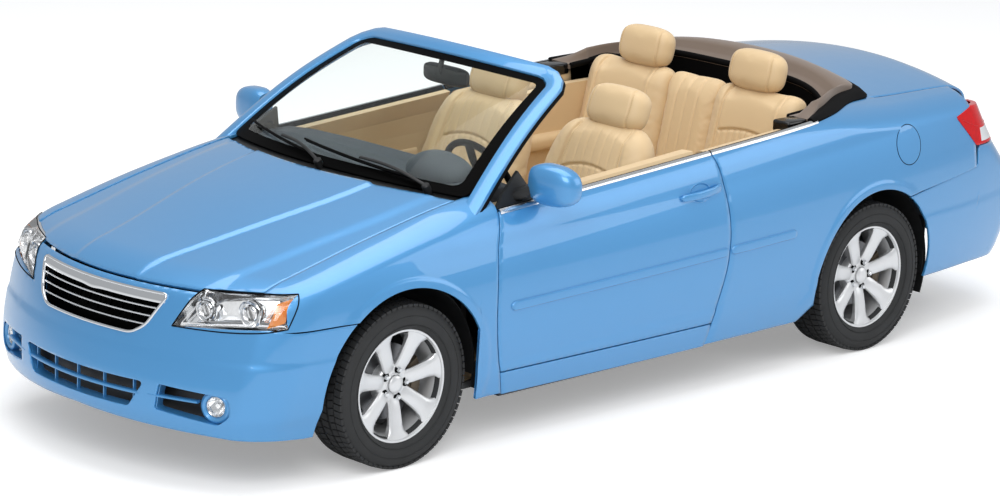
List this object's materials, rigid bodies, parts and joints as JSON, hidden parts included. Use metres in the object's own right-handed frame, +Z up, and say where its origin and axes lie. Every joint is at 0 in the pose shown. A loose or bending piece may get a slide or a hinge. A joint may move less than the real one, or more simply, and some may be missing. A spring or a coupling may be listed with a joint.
{
  "type": "four-seat convertible car",
  "caption": "Open four-seat convertible car with two doors, a folded roof under a rear cover, opening bonnet and boot, steered front wheels and free-rolling wheels.",
  "frame": {"origin": "on the ground, under the middle of the car", "axes": "-Y is the way the car faces, +X is its left side, +Z is up"},
  "size_m": [1.986, 4.8018, 1.3858],
  "materials": {
    "paint": "metallic light blue, glossy",
    "structure": "dark coated steel",
    "black_plastic": "matte black",
    "lamp_clear": "clear moulded lens",
    "lamp_red": "red moulded lens",
    "glass": "clear laminated glass",
    "leather": "smooth beige leather",
    "vinyl": "brown soft cover",
    "steel": "plain steel",
    "alloy": "silver cast alloy",
    "tyre": "black rubber"
  },
  "bodies": {
    "body": {"underbody": "structure", "front_fender_left": "paint", "front_fender_right": "paint", "quarter_panel_left": "paint", "quarter_panel_right": "paint", "front_bumper": "paint", "rear_bumper": "paint", "grille": "black_plastic", "headlights": "lamp_clear", "tail_lights": "lamp_red", "fog_lights": "lamp_clear", "sills": "paint", "windscreen_frame": "paint", "windscreen": "glass", "cowl_panel": "black_plastic", "wipers": "black_plastic", "dashboard": "black_plastic", "interior_mirror": "black_plastic", "front_seat_left": "leather", "front_seat_right": "leather", "rear_seat": "leather", "centre_console": "black_plastic", "side_trims": "leather", "boot_cover": "vinyl", "front_suspension": "structure", "rear_axle": "structure", "exhaust": "steel", "fuel_tank": "structure", "engine": "structure"},
    "door_left": {"door_left": "paint", "door_trim_left": "leather", "mirror_left": "paint"},
    "door_right": {"door_right": "paint", "door_trim_right": "leather", "mirror_right": "paint"},
    "bonnet": {"bonnet": "paint"},
    "trunk_lid": {"trunk_lid": "paint"},
    "steering_wheel": {"steering_wheel": "black_plastic"},
    "knuckle_left": {"knuckle_left": "structure"},
    "knuckle_right": {"knuckle_right": "structure"},
    "wheel_front_left": {"wheel_front_left": "alloy", "tyre_front_left": "tyre"},
    "wheel_front_right": {"wheel_front_right": "alloy", "tyre_front_right": "tyre"},
    "wheel_rear_left": {"wheel_rear_left": "alloy", "tyre_rear_left": "tyre"},
    "wheel_rear_right": {"wheel_rear_right": "alloy", "tyre_rear_right": "tyre"}
  },
  "joints": [
    {"name": "door_left_hinge", "type": "hinge", "parent": "body", "child": "door_left", "pos_m": [0.885, -1.04, 0.6], "axis": [0, 0, -1], "range_deg": [0, 65]},
    {"name": "door_right_hinge", "type": "hinge", "parent": "body", "child": "door_right", "pos_m": [-0.885, -1.04, 0.6], "axis": [0, 0, 1], "range_deg": [0, 65]},
    {"name": "bonnet_hinge", "type": "hinge", "parent": "body", "child": "bonnet", "pos_m": [0, -1.078, 0.948], "axis": [-1, 0, 0], "range_deg": [0, 50]},
    {"name": "trunk_lid_hinge", "type": "hinge", "parent": "body", "child": "trunk_lid", "pos_m": [0, 1.418, 1.122], "axis": [1, 0, 0], "range_deg": [0, 70]},
    {"name": "steer_left", "type": "hinge", "parent": "body", "child": "knuckle_left", "pos_m": [0.69, -1.48, 0.322], "axis": [0, 0, 1], "range_deg": [-33, 33]},
    {"name": "steer_right", "type": "hinge", "parent": "body", "child": "knuckle_right", "pos_m": [-0.69, -1.48, 0.322], "axis": [0, 0, 1], "range_deg": [-33, 33]},
    {"name": "steering_wheel_turn", "type": "hinge", "parent": "body", "child": "steering_wheel", "pos_m": [0.37, -0.66, 0.912], "axis": [0, 0.9063, 0.4226], "range_deg": [-500, 500]},
    {"name": "wheel_front_left_spin", "type": "hinge", "parent": "knuckle_left", "child": "wheel_front_left", "pos_m": [0.733, -1.48, 0.322], "axis": [1, 0, 0], "continuous": true},
    {"name": "wheel_front_right_spin", "type": "hinge", "parent": "knuckle_right", "child": "wheel_front_right", "pos_m": [-0.733, -1.48, 0.322], "axis": [1, 0, 0], "continuous": true},
    {"name": "wheel_rear_left_spin", "type": "hinge", "parent": "body", "child": "wheel_rear_left", "pos_m": [0.733, 1.212, 0.322], "axis": [1, 0, 0], "continuous": true},
    {"name": "wheel_rear_right_spin", "type": "hinge", "parent": "body", "child": "wheel_rear_right", "pos_m": [-0.733, 1.212, 0.322], "axis": [1, 0, 0], "continuous": true}
  ],
  "couplings": [
    {"joint": "steer_right", "follows": "steer_left", "ratio": 1},
    {"joint": "steering_wheel_turn", "follows": "steer_left", "ratio": 15}
  ]
}
